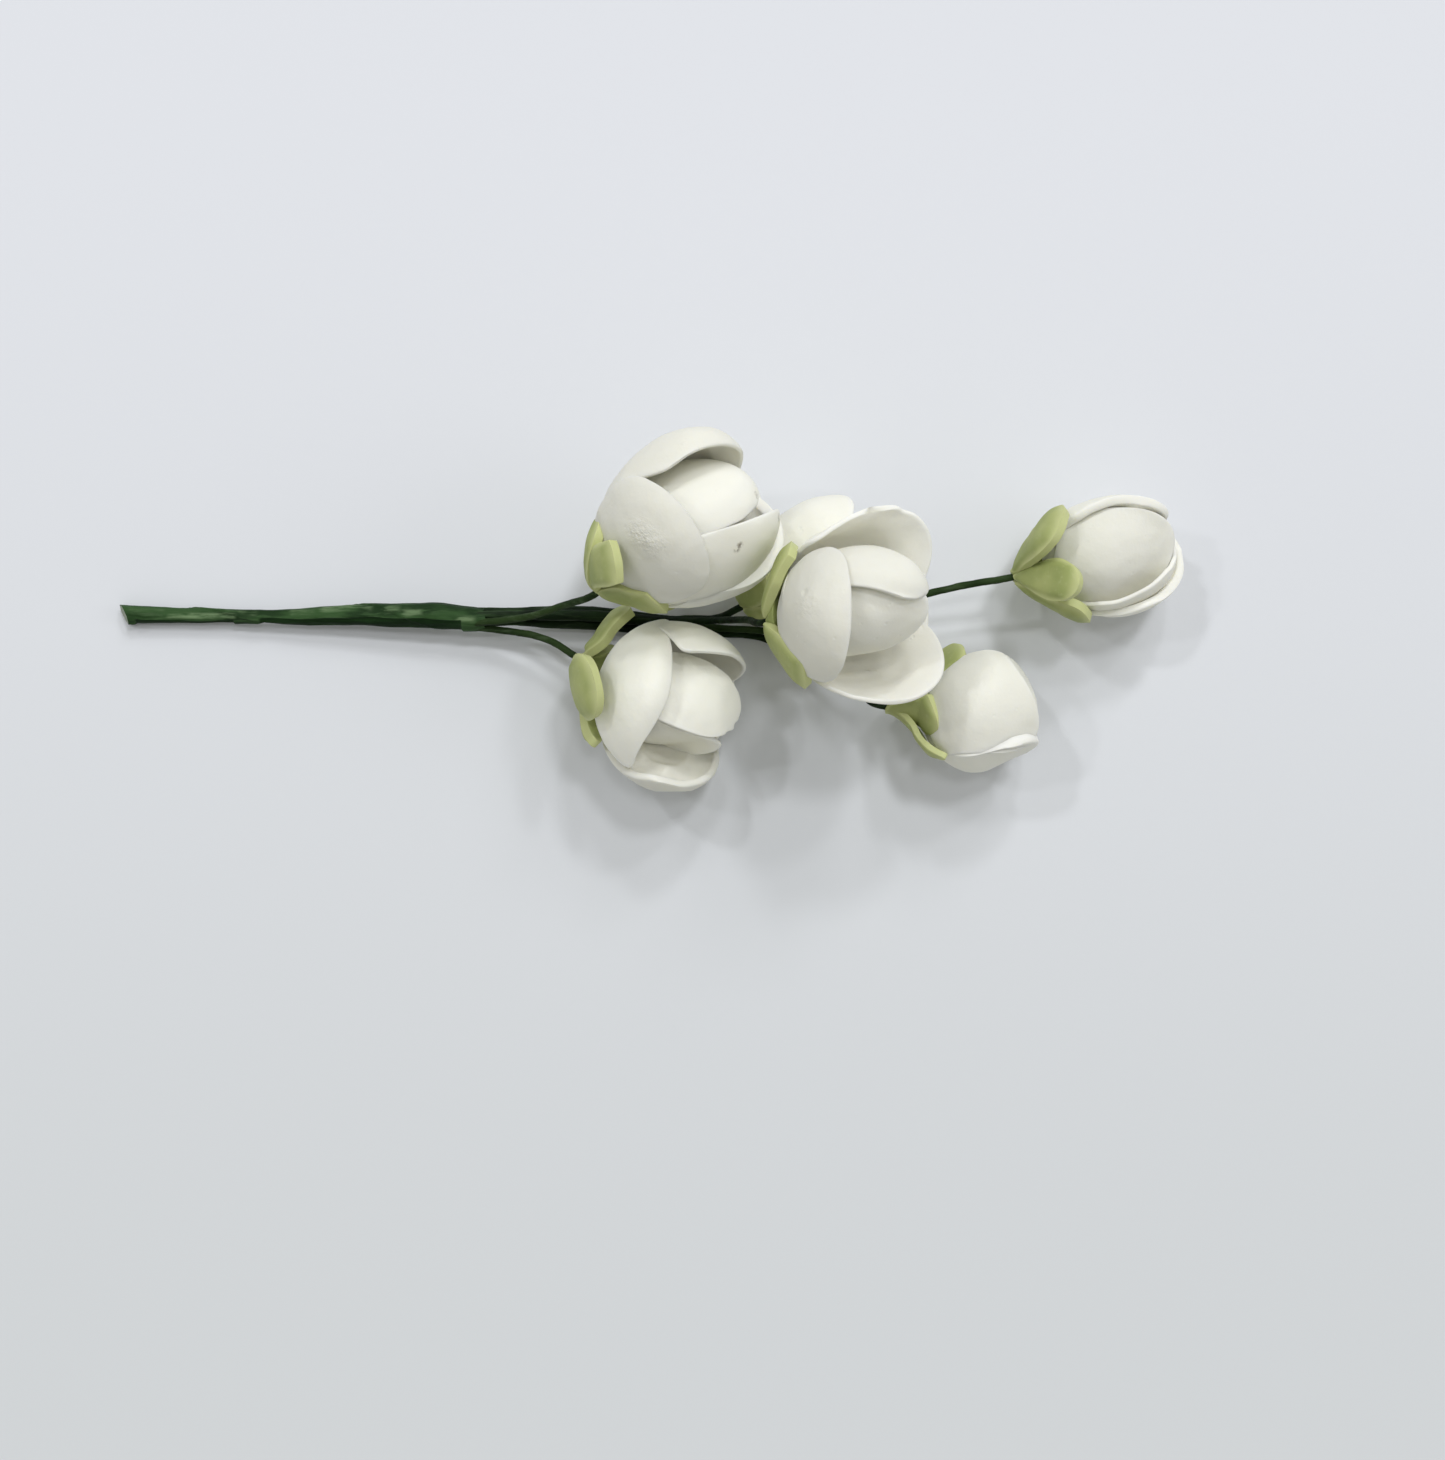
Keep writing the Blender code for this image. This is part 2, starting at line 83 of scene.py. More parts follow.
class Finish:
    # One material: its shader, and short ways to add nodes to it
    def __init__(self, name, **uniform):
        self.material = bpy.data.materials.new(name)
        self.material.use_nodes = True
        self.tree = self.material.node_tree
        self.shader = self.tree.nodes["Principled BSDF"]
        for label, value in uniform.items():
            self.shader.inputs[label.replace("_", " ")].default_value = value

    def node(self, kind, settings=None, values=None, output=0):
        made = self.tree.nodes.new(kind)
        for label, value in (settings or {}).items():
            setattr(made, label, value)
        for label, value in (values or {}).items():
            self.plug(made.inputs[label], value)
        return Signal(self, made.outputs[output])

    def plug(self, socket, value):
        if isinstance(value, Signal):
            self.tree.links.new(value.socket, socket)
        else:
            socket.default_value = value

    def coords(self, scale=(1, 1, 1)):
        start = self.node("ShaderNodeTexCoord", output="Object")
        return self.node("ShaderNodeMapping", values={"Vector": start, "Scale": scale})

    def clouds(self, where, scale, detail=2.0, rough=0.5):
        values = {"Vector": where, "Scale": scale, "Detail": detail, "Roughness": rough}
        return self.node("ShaderNodeTexNoise", values=values)

    def step(self, value, low, high):
        # 0 below low and 1 above high, smooth between them
        values = {"Value": value, "From Min": low, "From Max": high}
        return self.node("ShaderNodeMapRange", {"interpolation_type": "SMOOTHSTEP"}, values)

    def spot(self, centre, radius):
        # 1 at a place on the object and 0 a radius away
        start = self.node("ShaderNodeTexCoord", output="Object")
        values = {0: start, 1: tuple(value * mm for value in centre)}
        away = self.node("ShaderNodeVectorMath", {"operation": "DISTANCE"}, values, output="Value")
        return 1 - self.step(away, 0.0, radius * mm)

    def blend(self, factor, first, second):
        # the colour sockets of a Mix node are numbers 6 and 7, and its colour comes out at 2
        values = {0: factor, 6: first, 7: second}
        return self.node("ShaderNodeMix", {"data_type": "RGBA"}, values, output=2)

    def scaled(self, colour, factor):
        return self.node("ShaderNodeVectorMath", {"operation": "SCALE"}, {0: colour, "Scale": factor})

    def attribute(self, name):
        return self.node("ShaderNodeAttribute", {"attribute_name": name}, output="Fac")

    def bump(self, height, distance, strength):
        values = {"Height": height, "Distance": distance, "Strength": strength}
        return self.node("ShaderNodeBump", values=values)

    def use(self, **links):
        for label, value in links.items():
            self.plug(self.shader.inputs[label.replace("_", " ")], value)

    def paint(self, look, colour, height, grain):
        # a look's roughness goes with the grain, its bumps with the height
        self.use(Base_Color=colour, Roughness=look["roughness"] + look["roughnessSpread"] * grain,
                 Normal=self.bump(height, look["bumpDistance"], look["bumpStrength"]))


# Small steps of modelling that every piece uses
def eased(value, low, high):
    # 0 below low, 1 above high, smooth between them
    share = min(1.0, max(0.0, (value - low) / (high - low)))
    return share * share * (3 - 2 * share)


def deselectAll():
    if bpy.context.object and bpy.context.object.mode != "OBJECT":
        bpy.ops.object.mode_set(mode="OBJECT")
    bpy.ops.object.select_all(action="DESELECT")


def pick(piece):
    deselectAll()
    piece.select_set(True)
    bpy.context.view_layer.objects.active = piece


def addModifier(piece, kind, **settings):
    modifier = piece.modifiers.new(kind.lower(), kind)
    for label, value in settings.items():
        setattr(modifier, label, value)
    return modifier


def applyModifiers(piece):
    pick(piece)
    for modifier in list(piece.modifiers):
        bpy.ops.object.modifier_apply(modifier=modifier.name)


def joined(name, pieces):
    pick(pieces[0])
    for piece in pieces[1:]:
        piece.select_set(True)
    bpy.ops.object.join()
    whole = bpy.context.object
    whole.name = name
    whole.data.name = name
    return whole


def gridSheet(name, across, along, edgeShare):
    # A grid from -1 to 1 both ways, its outermost ring narrow so that the rim rounds tightly
    slack = 0.001
    deselectAll()
    bpy.ops.mesh.primitive_grid_add(x_subdivisions=across, y_subdivisions=along, size=2.0)
    sheet = bpy.context.object
    sheet.name = name
    for count, axis in ((across, 0), (along, 1)):
        inner = 1 - 2 / count
        for vert in sheet.data.vertices:
            value = vert.co[axis]
            if abs(value) < inner + slack:
                vert.co[axis] = value * (1 - edgeShare) / inner
    return sheet


def setAttribute(piece, name, values):
    layer = piece.data.attributes.new(name, "FLOAT", "POINT")
    layer.data.foreach_set("value", values)


def placeInNoise(number, steps):
    # Each petal or sepal reads its own place in the noise, which its number moves two ways
    return Vector((number * steps[0], steps[1], number * steps[2]))


def pushed(mesh, shifts):
    # Moves every point along its normal
    moved = [vert.co + vert.normal * shift for vert, shift in zip(mesh.vertices, shifts)]
    for vert, place in zip(mesh.vertices, moved):
        vert.co = place


finishing = {"smoothAngle": 50, "floorGap": 0.03}


def finishPiece(piece, nodes, finish):
    # Keeps the piece inside the CAD box and above the floor, smooths it and gives it its material
    low, high = cadBox
    for vert in piece.data.vertices:
        vert.co = [min(max(value, start), end) for value, start, end in zip(vert.co, low, high)]
        vert.co.z = max(vert.co.z, finishing["floorGap"] * mm)
    pick(piece)
    bpy.ops.object.shade_smooth_by_angle(angle=math.radians(finishing["smoothAngle"]))
    piece.data.materials.clear()
    piece.data.materials.append(finish.material)
    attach(piece, "root")
    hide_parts(*nodes)


# The blooms: the places and driving values of every petal and sepal
# A cup's height goes with its radius to the power heightPower
spray = {"offset": (0.93, 0.76, 0.0), "petalRootAngle": 22, "sepalRootAngle": 8, "heightPower": 0.4}


def petal(turn, reach, halfWidth, hinge=0, lean=0, radius=10, widening=0.1, curl=0, **extra):
    # turn round the bloom, reach up the cup, hinge opened at the root, lean to one side
    # extra may hold thick, rim (its thickness), full (less than 1 makes squarer corners), the painted
    # light and shade of the whole petal (1 is whitest) and notches in the rim: place across, width and
    # depth, as shares of the half petal
    return dict(turn=turn, reach=reach, halfWidth=halfWidth, hinge=hinge, lean=lean,
                radius=radius, widening=widening, curl=curl, **extra)


def sepal(turn, reach, halfWidth=3.2, hinge=0, lean=0, radius=None, widening=0.0, thick=1.9, full=1.0):
    # without a radius of its own it follows the bloom's cup
    return dict(turn=turn, reach=reach, halfWidth=halfWidth, hinge=hinge, lean=lean,
                radius=radius, widening=widening, thick=thick, full=full)


blooms = {
    "upper": dict(
        base=(-5.5, 6.0, 20.0), joint=(-7.7, 2.6, 18.5), heading=27, rise=22,
        cupRadius=14.5, cupHeight=16.0, budRadius=7.5, budLength=16.0,
        petals=[petal(8, 105, 11.4, -2, -6, 14.5, 0.15, -1.8, tone=0.815),
                petal(-104, 170, 13.2, 12, 4, 10.9, 0.25, -1.3, thick=3.2, tone=0.885),
                petal(147, 154, 16.8, 14, -2, 10.5, -0.2, -0.7, thick=3.2, rim=1.9, tone=1.0),
                petal(-176, 120, 13.0, 3, 1, 13.5),
                petal(-48, 158, 11.1, -15, -6, 12.0, -0.1, -1.8, tone=1.0),
                petal(-61, 148, 13.0, -11, -9, 10.1, 0.1, 0.5, tone=1.0)],
        inner=[petal(92, 148, 16.2, -5, 4, 13.1, 0.1, -0.9, tone=0.92)],
        sepals=[sepal(-6, 61, 2.8, -1, 17, 17.0, 0.35, full=0.5),
                sepal(52, 48, 3.1, -13, 2, 15.6, full=0.3),
                sepal(-39, 51, 5.0, -5, 24, 14.2, -0.3), sepal(136, 50), sepal(-150, 50)]),
    "lower": dict(
        base=(-8.5, -12.5, 10.1), joint=(-11.2, -8.1, 8.8), heading=-6, rise=12,
        cupRadius=13.5, cupHeight=13.5, budRadius=7.0, budLength=19.0,
        petals=[petal(-10, 94, 14.3, -4, 6, 14.0, -0.4, -2.2, tone=1.0),
                petal(-104, 136, 11.3, -7, -1, 13.4, 0.9, -0.1, tone=1.0),
                petal(117, 126, 11.5, 7, -9, 13.6, 0.55, -1.4, thick=4.5, rim=1.2, tone=0.87),
                petal(-178, 123, 13.0, 1, 0, 13.1),
                petal(-21, 160, 6.3, -14, 5, 10.8, 0.35, 0.5, tone=1.0,
                      notches=[(0.22, 0.06, 0.04), (0.4, 0.06, -0.04), (0.56, 0.06, 0.05)]),
                petal(72, 123, 7.8, -13, 10, 9.8, -0.15, 3.5, tone=1.0)],
        sepals=[sepal(4, 70, 4.8, 14, -17, 13.8, 0.3),
                sepal(-83, 58, 2.6, 5, -29, 14.2, 0.2, full=0.3),
                sepal(77, 39, 1.6, -2, -34, 15.0), sepal(160, 34), sepal(-140, 36)]),
    "front": dict(
        base=(21.0, -2.0, 27.0), joint=(18.5, -2.7, 25.0), heading=5, rise=27,
        cupRadius=13.5, cupHeight=15.0, budRadius=6.0, budLength=19.5,
        petals=[petal(-3, 97, 12.1, -1, 6, 12.4, 0.0, -1.7, tone=0.835),
                petal(-135, 129, 14.2, 10, 9, 10.5, 0.0, 2.2, thick=1.4, tone=1.0,
                      notches=[(0.78, 0.2, -0.1), (0.45, 0.09, 0.03)]),
                petal(137, 124, 12.7, 8, -6, 11.6, 0.05, 1.9, tone=0.88),
                petal(179, 113, 13.0, 15, -4, 12.4, 0.1, -0.6),
                petal(-63, 153, 6.6, -7, 0, 10.8, -0.15, -2.0, full=0.85, tone=0.89),
                petal(41, 151, 8.3, -11, -2, 8.5, -0.1, 1.2)],
        sepals=[sepal(-63, 50, 2.6, -2, -16, 13.4, 0.1, full=0.4),
                sepal(49, 47, 3.3, -11, 19, 15.6, full=0.4),
                sepal(125, 46), sepal(180, 46), sepal(-125, 46)]),
    "far": dict(
        base=(63.0, 5.5, 12.0), joint=(58.1, 5.1, 12.0), heading=23, rise=2,
        cupRadius=9.5, cupHeight=11.5, budRadius=6.2, budLength=17.5,
        petals=[petal(22, 139, 10.4, -13, 3, 9.4, -0.2, 1.5, tone=0.87),
                petal(-113, 138, 9.8, -20, 5, 11.1, -0.25, 1.0, thick=2.6, rim=1.4, tone=0.94),
                petal(144, 156, 14.2, 7, 1, 11.0, 0.05, -0.1, thick=3.0, rim=1.3, tone=1.0),
                petal(178, 147, 10.0, 1, -1, 9.5)],
        inner=[petal(128, 156, 11.9, 1, 2, 10.3, 0.0, -1.3, full=0.85)],
        sepals=[sepal(-49, 79, 3.9, 12, 31, 9.8, 0.5), sepal(5, 58, 3.1, 5, 38, 13.3, 0.15),
                sepal(89, 50, 5.1, -4, -5, 12.0, 0.45), sepal(161, 56), sepal(-137, 56)]),
    "near": dict(
        base=(45.0, -12.5, 8.0), joint=(38.2, -15.6, 7.2), heading=-23, rise=10,
        cupRadius=10.0, cupHeight=9.0, budRadius=9.3, budLength=17.3,
        petals=[petal(-7, 165, 10.5, 2, 5, 11.0, -0.5, 1.0, tone=0.92),
                petal(-110, 150, 10.0, -1, -1, 9.0),
                petal(94, 170, 7.4, -3, -11, 10.7, 0.45, 2.0, thick=1.8, rim=1.8, tone=1.0),
                petal(180, 150, 10.0, 0, 0, 9.4)],
        sepals=[sepal(40, 56, 3.0, -11, -5, 12.0, -0.1), sepal(-65, 46, 3.8, -14, -20, 11.0, 0.2),
                sepal(70, 92, 1.7, 2, -28, 10.9, -0.2, thick=1.2), sepal(150, 40), sepal(-140, 40)]),
    "under": dict(
        base=(17.4, 2.2, 7.7), joint=(14.7, 0.6, 7.4), heading=32, rise=3,
        cupRadius=8.8, cupHeight=11.5, budRadius=6.0, budLength=18.0,
        petals=[petal(60, 145, 11.0, 0, 0, 8.8),
                petal(-60, 145, 11.0, 2, 0, 9.0),
                petal(180, 145, 11.0, 0, 0, 8.8)],
        sepals=[sepal(-20, 50), sepal(-92, 50), sepal(-164, 40),
                sepal(120, 30, 2.6), sepal(52, 46, 2.6)]),
}


def bloomMatrix(bloom):
    # Local Z is the bloom's axis, local X its upper side, local values in millimetres
    heading = math.radians(bloom["heading"])
    rise = math.radians(bloom["rise"])
    level = math.cos(rise)
    axis = Vector((math.cos(heading) * level, math.sin(heading) * level, math.sin(rise)))
    upper = (Vector((0, 0, 1)) - axis * axis.z).normalized()
    turn = Matrix((upper, axis.cross(upper), axis)).transposed().to_4x4()
    place = (Vector(bloom["base"]) + Vector(spray["offset"])) * mm
    return Matrix.Translation(place) @ turn @ Matrix.Scale(mm, 4)


def cupHeightAt(bloom, radius):
    return bloom["cupHeight"] * (radius / bloom["cupRadius"]) ** spray["heightPower"]


def turnedAboutRoot(radial, along, rootRadial, rootAlong, degrees):
    angle = math.radians(degrees)
    out, up = radial - rootRadial, along - rootAlong
    return (rootRadial + out * math.cos(angle) + up * math.sin(angle),
            rootAlong - out * math.sin(angle) + up * math.cos(angle))


def roundedSquare(x, y, full):
    # A grid's square made round: a disc where full is 1, squarer where it is less
    half = full / 2
    return x * math.sqrt(1 - half * y * y), y * math.sqrt(1 - half * x * x)


def setRoundAxis(radial, lateral, along, degrees):
    turn = math.radians(degrees)
    return Vector((radial * math.cos(turn) - lateral * math.sin(turn),
                   radial * math.sin(turn) + lateral * math.cos(turn), along))


# Petals
petalMake = {
    "thickness": 0.9, "rimThickness": 0.72, "across": 26, "along": 28, "edgeShare": 0.045,
    # from the petal's middle (0) to its rim (1): where it starts to thin, and is thinnest
    "rimStart": 0.55, "rimEnd": 0.97,
    # from the root (-1) to the rim (1): where the curl and the notches start
    "curlStart": -0.35, "notchStart": 0.5,
    "dentSize": 5.5, "dentDepth": 0.26, "grainSize": 1.9, "grainDepth": 0.1,
    # the last value is the painted light and shade of pieces without their own
    "noiseSteps": (7.3, 15.5, 1.7), "insideGain": 1.6, "tone": 0.95,
}


def petalPoint(bloom, form, x, y):
    # x runs across the petal and y from its root (-1) to its rim (1)
    radius = form["radius"]
    height = cupHeightAt(bloom, radius)
    root = math.radians(spray["petalRootAngle"])
    angle = root + (math.radians(form["reach"]) - root) * (y + 1) / 2
    radial, along = radius * math.sin(angle), height * (1 - math.cos(angle))
    riseOut, riseUp = radius * math.cos(angle), height * math.sin(angle)
    slope = math.hypot(riseOut, riseUp)
    arc = x * form["halfWidth"] * (1 + form["widening"] * y) / radius
    lateral = radius * math.sin(arc)
    inward = radius * (1 - math.cos(arc))
    rimStart, curlStart = petalMake["rimStart"], petalMake["curlStart"]
    rim = max(0.0, (min(1.0, math.hypot(x, y)) - rimStart) / (1 - rimStart))
    upperPart = min(1.0, max(0.0, (y - curlStart) / (1 - curlStart)))
    shift = form["curl"] * rim ** 2 * upperPart - inward
    radial += riseUp / slope * shift
    along -= riseOut / slope * shift
    rootRadial, rootAlong = radius * math.sin(root), height * (1 - math.cos(root))
    radial, along = turnedAboutRoot(radial, along, rootRadial, rootAlong, form["hinge"])
    lateral, along = turnedAboutRoot(lateral, along, 0.0, rootAlong, form["lean"])
    return setRoundAxis(radial, lateral, along, form["turn"])


def setInside(piece, bloom):
    # 1 where a surface looks towards the middle of its cup, 0 where it looks outwards
    middle = Vector((0, 0, bloom["cupHeight"]))
    facing = [vert.normal.dot((vert.co - middle).normalized()) for vert in piece.data.vertices]
    inside = [min(1.0, max(0.0, -petalMake["insideGain"] * value)) for value in facing]
    setAttribute(piece, "inside", inside)


def setPlain(piece, *names):
    # A bud, a foot or a hub has no rim of its own, and a bud or a foot no inside
    for name in names:
        setAttribute(piece, name, [0.0] * len(piece.data.vertices))


# Painted light and shade: scales the whole piece's colour, set petal by petal for how lit it looks
def setPaintedLight(piece, tone):
    setAttribute(piece, "tone", [tone] * len(piece.data.vertices))


def petalPiece(bloom, form, number):
    sheet = gridSheet("petal", petalMake["across"], petalMake["along"], petalMake["edgeShare"])
    mesh = sheet.data
    notches = form.get("notches", [])
    rims = []
    for vert in mesh.vertices:
        x, y = vert.co.x, vert.co.y
        rims.append(max(abs(x), abs(y)))
        notched = sum(depth * math.exp(-((x - place) / width) ** 2) for place, width, depth in notches)
        y -= eased(y, petalMake["notchStart"], 1.0) * notched
        vert.co = petalPoint(bloom, form, *roundedSquare(x, y, form.get("full", 1.0)))
    mesh.update()
    seed = placeInNoise(number, petalMake["noiseSteps"])
    pushed(mesh, [petalMake["dentDepth"] * noise.noise(vert.co / petalMake["dentSize"] + seed)
                  + petalMake["grainDepth"] * noise.noise(vert.co / petalMake["grainSize"] + seed)
                  for vert in mesh.vertices])
    setAttribute(sheet, "rim", rims)
    group = sheet.vertex_groups.new(name="thick")
    thickness = form.get("thick", petalMake["thickness"])
    rimThickness = form.get("rim", petalMake["rimThickness"])
    for vert, rim in zip(mesh.vertices, rims):
        share = eased(rim, petalMake["rimStart"], petalMake["rimEnd"])
        group.add([vert.index], 1 - (1 - rimThickness / thickness) * share, "REPLACE")
    addModifier(sheet, "SOLIDIFY", thickness=thickness, offset=-1, use_even_offset=True,
                vertex_group="thick")
    addModifier(sheet, "SUBSURF", levels=1, render_levels=1)
    applyModifiers(sheet)
    setInside(sheet, bloom)
    setPaintedLight(sheet, form.get("tone", petalMake["tone"]))
    return sheet


# The bud's furls are shallow waves round it, that twist as they rise
budMake = {
    "segments": 40, "rings": 24, "furls": 3, "furlDepth": 0.03, "twist": 4,
    "narrowing": 0.12, "lift": 1.0,
}


def budPiece(bloom):
    # The closed heart of a bloom, drawn in to a blunt tip
    deselectAll()
    bpy.ops.mesh.primitive_uv_sphere_add(segments=budMake["segments"], ring_count=budMake["rings"],
                                         radius=1.0)
    bud = bpy.context.object
    half = bloom["budLength"] / 2
    for vert in bud.data.vertices:
        turn = math.atan2(vert.co.y, vert.co.x)
        furl = 1 + budMake["furlDepth"] * math.sin(budMake["furls"] * turn + budMake["twist"] * vert.co.z)
        narrow = 1 - budMake["narrowing"] * max(0.0, vert.co.z)
        vert.co.x *= bloom["budRadius"] * furl * narrow
        vert.co.y *= bloom["budRadius"] * furl * narrow
        vert.co.z = vert.co.z * half + half + budMake["lift"]
    setPlain(bud, "rim", "inside")
    setPaintedLight(bud, petalMake["tone"])
    return bud


# Shares of the bloom's cup, and the level of the cut as a share of the foot's height
footMake = {"segments": 40, "rings": 32, "radiusShare": 0.93, "heightShare": 0.97, "cutShare": 0.24}


def footPiece(bloom):
    # The solid foot that the petals grow from: the lowest part of an egg, cut level
    deselectAll()
    bpy.ops.mesh.primitive_uv_sphere_add(segments=footMake["segments"], ring_count=footMake["rings"],
                                         radius=1.0)
    foot = bpy.context.object
    radius = bloom["cupRadius"] * footMake["radiusShare"]
    height = bloom["cupHeight"] * footMake["heightShare"]
    for vert in foot.data.vertices:
        vert.co = (vert.co.x * radius, vert.co.y * radius, vert.co.z * height + bloom["cupHeight"])
    bpy.ops.object.mode_set(mode="EDIT")
    bpy.ops.mesh.select_all(action="SELECT")
    bpy.ops.mesh.bisect(plane_co=(0, 0, height * footMake["cutShare"]), plane_no=(0, 0, 1),
                        use_fill=True, clear_outer=True)
    bpy.ops.object.mode_set(mode="OBJECT")
    setPlain(foot, "rim", "inside")
    setPaintedLight(foot, petalMake["tone"])
    return foot


petalLook = {
    # each pair of colours is clouded together; beige on the petals' insides is painted bounce light in
    # the cups
    "white": ((0.87, 0.86, 0.75, 1), (0.92, 0.91, 0.805, 1)),
    "insideBounce": ((0.88, 0.865, 0.765, 1), (0.92, 0.91, 0.815, 1)),
    # painted highlight: the paler rim colour stands for petal edges catching the light
    "rim": (0.93, 0.925, 0.85, 1), "rimShare": 0.5, "rimFrom": 0.82,
    # scuffs: centre and radius in millimetres, and strength
    "scuff": (0.16, 0.13, 0.09, 1), "scuffGrain": (1900, 2),
    "scuffs": [((15.2, 9.1, 34.6), 0.8, 0.9), ((14.7, 8.5, 34.4), 0.8, 0.85),
               ((17.8, 17.3, 28.5), 0.9, 0.9), ((21.1, 13.8, 27.8), 1.0, 0.8)],
    # dents, and rough places where the paste was patted: centre, radius and depth
    "dents": [((24.0, 2.0, 41.0), 1.3, 7.0), ((23.2, -1.7, 41.0), 1.1, 6.0)],
    "rough": [((0.2, 10.9, 37.4), 3.4, 7.0), ((2.2, 9.0, 37.8), 3.6, 6.0),
              ((24.5, 0.0, 41.5), 4.0, 5.0)],
    # clouds: scale, detail and roughness
    "tint": (90, 3), "grain": (1400, 3, 0.65), "wave": (420, 3), "lump": (620, 4, 0.7),
    "pitScale": 700, "pitPatches": (140, 2),
    "grainDepth": 0.35, "pitDepth": 0.8, "waveDepth": 1.2,
    "bumpDistance": 0.0001, "bumpStrength": 0.9, "roughness": 0.55, "roughnessSpread": 0.12,
}


def petalFinish():
    finish = Finish("petalPaste", Subsurface_Weight=0.3, Subsurface_Scale=0.0015, IOR=1.45,
                    Subsurface_Radius=(1.0, 0.93, 0.72), Specular_IOR_Level=0.3)
    where = finish.coords()
    cloud = finish.clouds(where, *petalLook["tint"])
    rim = finish.step(finish.attribute("rim"), petalLook["rimFrom"], 1.0)
    white = finish.blend(cloud, *petalLook["white"])
    insideBounce = finish.blend(cloud, *petalLook["insideBounce"])
    # painted bounce light: surfaces facing the middle of their cup take the brighter beige
    colour = finish.blend(finish.attribute("inside"), white, insideBounce)
    # painted highlight: rims are blended towards the paler rim colour
    pale = finish.blend(rim * petalLook["rimShare"], colour, petalLook["rim"])
    # painted light and shade over the whole petal
    toned = finish.scaled(pale, finish.attribute("tone"))
    for centre, radius, strength in petalLook["scuffs"]:
        broken = finish.step(finish.clouds(where, *petalLook["scuffGrain"]), 0.35, 0.6)
        mark = finish.spot(centre, radius) * broken
        toned = finish.blend(mark * strength, toned, petalLook["scuff"])
    values = {"Vector": where, "Scale": petalLook["pitScale"]}
    pits = finish.node("ShaderNodeTexVoronoi", {"feature": "F1"}, values)
    pitted = finish.step(finish.clouds(where, *petalLook["pitPatches"]), 0.56, 0.72)
    holes = (1 - finish.step(pits, 0.05, 0.26)) * pitted
    grain = finish.clouds(where, *petalLook["grain"])
    waves = finish.clouds(where, *petalLook["wave"])
    height = (grain * petalLook["grainDepth"] - holes * petalLook["pitDepth"]
              + waves * petalLook["waveDepth"])
    for centre, radius, depth in petalLook["dents"]:
        height = height - finish.spot(centre, radius) * depth
    lumps = finish.clouds(where, *petalLook["lump"])
    for centre, radius, depth in petalLook["rough"]:
        height = height + finish.spot(centre, radius) * lumps * depth
    finish.paint(petalLook, toned, height, grain)
    return finish


petalPaste = petalFinish()
for name, bloom in blooms.items():
    pieces = [budPiece(bloom), footPiece(bloom)]
    for number, form in enumerate(bloom["petals"] + bloom.get("inner", [])):
        pieces.append(petalPiece(bloom, form, number))
    whole = joined("petals" + name.capitalize(), pieces)
    whole.data.transform(bloomMatrix(bloom))
    finishPiece(whole, ["petals_" + name], petalPaste)
    print("petals of", name)

# Sepals and the hub that carries them
calyxMake = {
    # a sepal's root is thin over the share rootShare of its length, its rim is rimThickness of
    # its thickness from rimStart outwards, and it gathers to the joint over the share gatherShare
    "rootThickness": 0.7, "rootShare": 0.35, "rimThickness": 0.75, "rimStart": 0.6,
    "across": 16, "along": 24, "edgeShare": 0.1, "gatherShare": 0.5, "gatherWidth": 0.3,
    "outsideCup": 0.8, "below": 0.6, "bevel": 0.28, "bevelAngle": 40,
    "dentSize": 2.6, "dentDepth": 0.12, "noiseSteps": (5.1, 2.0, 2.3),
    "hubRadius": 3.2, "hubSides": 36, "hubBevel": 0.35, "jointRadius": 0.75, "seatGap": 0.35,
}


def sepalPoint(bloom, form, joint, x, y):
    # Follows the outside of the cup, and narrows to the joint with the wire
    radius = form["radius"] or bloom["cupRadius"] + calyxMake["outsideCup"]
    height = cupHeightAt(bloom, radius)
    root = math.radians(spray["sepalRootAngle"])
    share = (y + 1) / 2
    angle = root + (math.radians(form["reach"]) - root) * share
    radial, along = radius * math.sin(angle), height * (1 - math.cos(angle)) - calyxMake["below"]
    riseOut, riseUp = radius * math.cos(angle), height * math.sin(angle)
    slope = math.hypot(riseOut, riseUp)
    across = x * form["halfWidth"] * (1 + form["widening"] * y)
    lateral = radius * math.sin(across / radius)
    inward = radius * (1 - math.cos(across / radius))
    radial -= riseUp / slope * inward
    along += riseOut / slope * inward
    radial, along = turnedAboutRoot(radial, along, 0.0, -calyxMake["below"], form["hinge"])
    lateral, along = turnedAboutRoot(lateral, along, 0.0, -calyxMake["below"], form["lean"])
    spread = setRoundAxis(radial, lateral, along, form["turn"])
    gathered = joint + setRoundAxis(calyxMake["jointRadius"], calyxMake["gatherWidth"] * across, 0.0,
                                    form["turn"])
    return gathered.lerp(spread, eased(share, 0.0, calyxMake["gatherShare"]))


